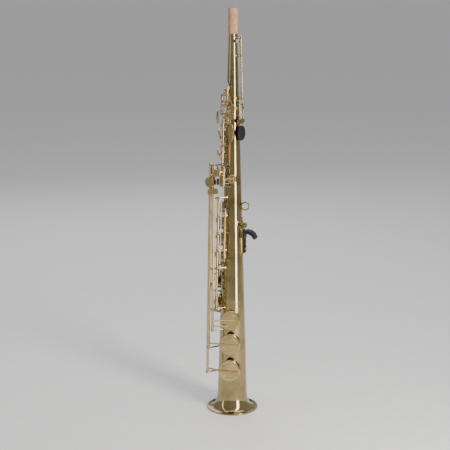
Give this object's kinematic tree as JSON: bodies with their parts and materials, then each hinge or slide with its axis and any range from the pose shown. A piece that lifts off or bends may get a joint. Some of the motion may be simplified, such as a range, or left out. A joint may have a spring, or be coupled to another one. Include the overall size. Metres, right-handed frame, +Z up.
{
  "type": "soprano saxophone",
  "caption": "Straight one-piece soprano saxophone in lacquered brass with full keywork, cork-covered neck end, flared bell, thumb rest, strap ring and thumb hook.",
  "frame": {"origin": "centre of the bell rim's resting face, on the bore axis", "axes": "+Z up the bore to the cork; -X the front, where the main key stack is; +X the back, thumb side; -Y the player's left"},
  "size_m": [0.0858, 0.084, 0.65],
  "materials": {
    "brass_lacquer": "polished lacquer",
    "steel": "polished",
    "cork": "sanded cork sheet",
    "pad_leather": "matt",
    "black_plastic": "satin",
    "felt": "felt"
  },
  "bodies": {
    "instrument": {"body_tube": "brass_lacquer", "bell": "brass_lacquer", "bell_rim": "brass_lacquer", "neck_cork": "cork", "octave_pips": "brass_lacquer", "stack_posts": "brass_lacquer", "low_key_posts": "brass_lacquer", "left_side_posts": "brass_lacquer", "right_side_posts": "brass_lacquer", "octave_posts": "brass_lacquer", "ribs": "brass_lacquer", "hinge_rods": "steel", "thumb_rest": "black_plastic", "thumb_rest_mount": "brass_lacquer", "strap_ring": "brass_lacquer", "thumb_hook_plate": "brass_lacquer", "thumb_hook_screw": "steel", "key_guards": "brass_lacquer", "guard_felts": "felt"},
    "octave_upper_key_body": {"octave_upper_key": "brass_lacquer"},
    "octave_lower_key_body": {"octave_lower_key": "brass_lacquer"},
    "octave_thumb_lever_body": {"octave_thumb_lever": "brass_lacquer"},
    "palm_f_key_body": {"palm_f_key": "brass_lacquer"},
    "palm_e_flat_key_body": {"palm_e_flat_key": "brass_lacquer"},
    "palm_d_key_body": {"palm_d_key": "brass_lacquer"},
    "front_f_key_body": {"front_f_key": "brass_lacquer"},
    "side_e_key_body": {"side_e_key": "brass_lacquer"},
    "side_c_key_body": {"side_c_key": "brass_lacquer"},
    "side_b_flat_key_body": {"side_b_flat_key": "brass_lacquer"},
    "upper_c_key_body": {"upper_c_key": "brass_lacquer"},
    "b_key_body": {"b_key": "brass_lacquer"},
    "bis_key_body": {"bis_key": "brass_lacquer"},
    "a_key_body": {"a_key": "brass_lacquer"},
    "g_key_body": {"g_key": "brass_lacquer"},
    "f_sharp_key_body": {"f_sharp_key": "brass_lacquer"},
    "f_key_body": {"f_key": "brass_lacquer", "f_pad": "pad_leather"},
    "e_key_body": {"e_key": "brass_lacquer", "e_pad": "pad_leather"},
    "d_key_body": {"d_key": "brass_lacquer", "d_pad": "pad_leather"},
    "articulation_key_body": {"articulation_key": "brass_lacquer"},
    "low_b_flat_key_body": {"low_b_flat_key": "brass_lacquer", "low_b_flat_pad": "pad_leather"},
    "low_b_key_body": {"low_b_key": "brass_lacquer", "low_b_pad": "pad_leather"},
    "c_sharp_key_body": {"c_sharp_key": "brass_lacquer", "c_sharp_pad": "pad_leather"},
    "g_sharp_key_body": {"g_sharp_key": "brass_lacquer"},
    "low_c_key_body": {"low_c_key": "brass_lacquer", "low_c_pad": "pad_leather"},
    "e_flat_key_body": {"e_flat_key": "brass_lacquer", "e_flat_pad": "pad_leather"},
    "b_touch_roller_body": {"b_touch_roller": "black_plastic"},
    "c_sharp_touch_roller_body": {"c_sharp_touch_roller": "black_plastic"},
    "low_c_touch_roller_body": {"low_c_touch_roller": "black_plastic"},
    "e_flat_touch_roller_body": {"e_flat_touch_roller": "black_plastic"},
    "thumb_hook_body": {"thumb_hook": "black_plastic"}
  },
  "joints": [
    {"name": "octave_upper_press", "type": "hinge", "parent": "instrument", "child": "octave_upper_key_body", "pos_m": [0.01357, -0.0095, 0.55875], "axis": [-0.0246, 0.0172, 0.9996], "range_deg": [0, 11.8]},
    {"name": "octave_lower_press", "type": "hinge", "parent": "instrument", "child": "octave_lower_key_body", "pos_m": [0.01057, -0.01305, 0.4945], "axis": [-0.0189, 0.0233, 0.9996], "range_deg": [0, 12.24], "stiffness_Nm_per_rad": 0.015, "springref_deg": -20.05},
    {"name": "octave_thumb_press", "type": "hinge", "parent": "instrument", "child": "octave_thumb_lever_body", "pos_m": [0.01664, -0.00234, 0.4875], "axis": [0.0297, -0.0042, -0.9996], "range_deg": [0, 5], "stiffness_Nm_per_rad": 0.015, "springref_deg": -20.05},
    {"name": "palm_f_press", "type": "hinge", "parent": "instrument", "child": "palm_f_key_body", "pos_m": [-0.00857, -0.01371, 0.5219], "axis": [0.0159, 0.0254, 0.9996], "range_deg": [0, 13.01], "stiffness_Nm_per_rad": 0.015, "springref_deg": -20.05},
    {"name": "palm_e_flat_press", "type": "hinge", "parent": "instrument", "child": "palm_e_flat_key_body", "pos_m": [-0.00887, -0.01419, 0.5033], "axis": [0.0159, 0.0254, 0.9996], "range_deg": [0, 12.57], "stiffness_Nm_per_rad": 0.015, "springref_deg": -20.05},
    {"name": "palm_d_press", "type": "hinge", "parent": "instrument", "child": "palm_d_key_body", "pos_m": [-0.00918, -0.01469, 0.48365], "axis": [0.0159, 0.0254, 0.9996], "range_deg": [0, 12.15], "stiffness_Nm_per_rad": 0.015, "springref_deg": -20.05},
    {"name": "front_f_press", "type": "hinge", "parent": "instrument", "child": "front_f_key_body", "pos_m": [-0.01737, 0.00466, 0.5015], "axis": [-0.029, 0.0078, -0.9996], "range_deg": [0, 5], "stiffness_Nm_per_rad": 0.015, "springref_deg": -20.05},
    {"name": "side_e_press", "type": "hinge", "parent": "instrument", "child": "side_e_key_body", "pos_m": [0.00062, 0.01767, 0.4315], "axis": [0.001, 0.03, -0.9996], "range_deg": [0, 18.04], "stiffness_Nm_per_rad": 0.015, "springref_deg": -20.05},
    {"name": "side_c_press", "type": "hinge", "parent": "instrument", "child": "side_c_key_body", "pos_m": [-0.00391, 0.01841, 0.3935], "axis": [-0.0062, 0.0293, -0.9996], "range_deg": [0, 16.35], "stiffness_Nm_per_rad": 0.015, "springref_deg": -20.05},
    {"name": "side_b_flat_press", "type": "hinge", "parent": "instrument", "child": "side_b_flat_key_body", "pos_m": [-0.0087, 0.01784, 0.3595], "axis": [-0.0131, 0.027, -0.9996], "range_deg": [0, 16.85], "stiffness_Nm_per_rad": 0.015, "springref_deg": -20.05},
    {"name": "upper_c_press", "type": "hinge", "parent": "instrument", "child": "upper_c_key_body", "pos_m": [-0.0149, -0.01295, 0.4695], "axis": [-0.0226, -0.0197, -0.9996], "range_deg": [0, 7.96]},
    {"name": "b_press", "type": "hinge", "parent": "instrument", "child": "b_key_body", "pos_m": [-0.01529, -0.01329, 0.4524], "axis": [-0.0226, -0.0197, -0.9996], "range_deg": [0, 7.69], "stiffness_Nm_per_rad": 0.015, "springref_deg": -20.05},
    {"name": "bis_press", "type": "hinge", "parent": "instrument", "child": "bis_key_body", "pos_m": [-0.01574, -0.01368, 0.43245], "axis": [-0.0226, -0.0197, -0.9996], "range_deg": [0, 6.71], "stiffness_Nm_per_rad": 0.015, "springref_deg": -20.05},
    {"name": "a_press", "type": "hinge", "parent": "instrument", "child": "a_key_body", "pos_m": [-0.01602, -0.01392, 0.4202], "axis": [-0.0226, -0.0197, -0.9996], "range_deg": [0, 8.23], "stiffness_Nm_per_rad": 0.015, "springref_deg": -20.05},
    {"name": "g_press", "type": "hinge", "parent": "instrument", "child": "g_key_body", "pos_m": [-0.01662, -0.01445, 0.39355], "axis": [-0.0226, -0.0197, -0.9996], "range_deg": [0, 8.69], "stiffness_Nm_per_rad": 0.015, "springref_deg": -20.05},
    {"name": "f_sharp_press", "type": "hinge", "parent": "instrument", "child": "f_sharp_key_body", "pos_m": [-0.02252, -0.01577, 0.34125], "axis": [-0.0246, -0.0172, -0.9996], "range_deg": [0, 9.42]},
    {"name": "f_press", "type": "hinge", "parent": "instrument", "child": "f_key_body", "pos_m": [-0.02323, -0.01626, 0.3125], "axis": [-0.0246, -0.0172, -0.9996], "range_deg": [0, 9.15], "stiffness_Nm_per_rad": 0.015, "springref_deg": -20.05},
    {"name": "e_press", "type": "hinge", "parent": "instrument", "child": "e_key_body", "pos_m": [-0.02391, -0.01675, 0.2845], "axis": [-0.0246, -0.0172, -0.9996], "range_deg": [0, 8.9], "stiffness_Nm_per_rad": 0.015, "springref_deg": -20.05},
    {"name": "d_press", "type": "hinge", "parent": "instrument", "child": "d_key_body", "pos_m": [-0.02462, -0.01724, 0.256], "axis": [-0.0246, -0.0172, -0.9996], "range_deg": [0, 9.3], "stiffness_Nm_per_rad": 0.015, "springref_deg": -20.05},
    {"name": "articulation_press", "type": "hinge", "parent": "instrument", "child": "articulation_key_body", "pos_m": [-0.01282, -0.02093, 0.29625], "axis": [-0.0157, -0.0256, -0.9996], "range_deg": [0, 3]},
    {"name": "low_b_flat_press", "type": "hinge", "parent": "instrument", "child": "low_b_flat_key_body", "pos_m": [-0.03832, -0.01422, 0.2374], "axis": [0.0174, 0.0075, 0.9998], "range_deg": [0, 6.29], "stiffness_Nm_per_rad": 0.03, "springref_deg": -20.05},
    {"name": "low_b_press", "type": "hinge", "parent": "instrument", "child": "low_b_key_body", "pos_m": [-0.03638, -0.01946, 0.2589], "axis": [0.0168, 0.0103, 0.9998], "range_deg": [0, 6.87], "stiffness_Nm_per_rad": 0.03, "springref_deg": -20.05},
    {"name": "c_sharp_press", "type": "hinge", "parent": "instrument", "child": "c_sharp_key_body", "pos_m": [-0.03104, -0.02295, 0.2745], "axis": [-0.0123, -0.0115, -0.9999], "range_deg": [0, 7.29], "stiffness_Nm_per_rad": 0.03, "springref_deg": -20.05},
    {"name": "g_sharp_press", "type": "hinge", "parent": "instrument", "child": "g_sharp_key_body", "pos_m": [-0.01468, -0.01879, 0.3893], "axis": [-0.0185, -0.0236, -0.9996], "range_deg": [0, 9.03], "stiffness_Nm_per_rad": 0.015, "springref_deg": -20.05},
    {"name": "low_c_press", "type": "hinge", "parent": "instrument", "child": "low_c_key_body", "pos_m": [-0.02579, -0.01806, 0.20805], "axis": [-0.0246, -0.0172, -0.9996], "range_deg": [0, 9.25], "stiffness_Nm_per_rad": 0.03, "springref_deg": -20.05},
    {"name": "e_flat_press", "type": "hinge", "parent": "instrument", "child": "e_flat_key_body", "pos_m": [-0.02402, 0.00874, 0.22215], "axis": [0.0282, -0.0103, 0.9996], "range_deg": [0, 12.43], "stiffness_Nm_per_rad": 0.015, "springref_deg": -20.05},
    {"name": "b_touch_roller_spin", "type": "hinge", "parent": "low_b_key_body", "child": "b_touch_roller_body", "pos_m": [-0.02311, -0.03143, 0.38464], "axis": [-0.0011, 0.0021, 1], "continuous": true},
    {"name": "c_sharp_touch_roller_spin", "type": "hinge", "parent": "c_sharp_key_body", "child": "c_sharp_touch_roller_body", "pos_m": [-0.0276, -0.029, 0.3834], "axis": [0, 0, 1], "continuous": true},
    {"name": "low_c_touch_roller_spin", "type": "hinge", "parent": "low_c_key_body", "child": "low_c_touch_roller_body", "pos_m": [-0.03365, -0.0027, 0.21068], "axis": [0.2292, -0.9734, -0.0043], "continuous": true},
    {"name": "e_flat_touch_roller_spin", "type": "hinge", "parent": "e_flat_key_body", "child": "e_flat_touch_roller_body", "pos_m": [-0.03079, -0.00161, 0.2194], "axis": [0.0698, -0.9976, 0], "continuous": true},
    {"name": "thumb_hook_slide", "type": "slide", "parent": "instrument", "child": "thumb_hook_body", "axis": [0, 0, 1], "range_m": [-0.003, 0.003]}
  ],
  "couplings": [
    {"joint": "upper_c_press", "follows": "b_press", "ratio": 1.0351},
    {"joint": "f_sharp_press", "follows": "f_press", "ratio": 1.0295},
    {"joint": "articulation_press", "follows": "f_press", "ratio": 0.3278},
    {"joint": "octave_upper_press", "follows": "octave_thumb_press", "ratio": 2.36}
  ]
}
